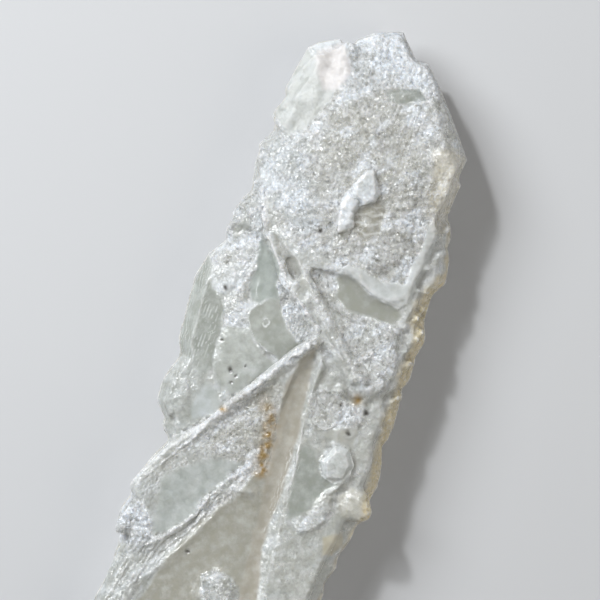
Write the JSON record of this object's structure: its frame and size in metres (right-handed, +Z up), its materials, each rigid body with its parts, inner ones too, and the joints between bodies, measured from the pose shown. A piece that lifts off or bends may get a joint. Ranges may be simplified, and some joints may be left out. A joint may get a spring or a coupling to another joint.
{
  "type": "etched quartz",
  "caption": "Natural group of etched quartz crystals grown together, flattened and lying on its back, with frosted faces, sharp ridges and a smooth hollow channel.",
  "frame": {"origin": "below the middle of the group's bounding box, on the plane of its flat rest face", "axes": "+Y along the group's length towards its pointed head, +X across it towards the crusted edge, +Z up out of the etched face"},
  "size_m": [0.0382, 0.1064, 0.0157],
  "materials": {
    "quartz": "etched and frosted, milky to clear, with a few glassy panes and small ochre stains"
  },
  "bodies": {
    "root": {"etched_quartz": "quartz"}
  },
  "joints": []
}
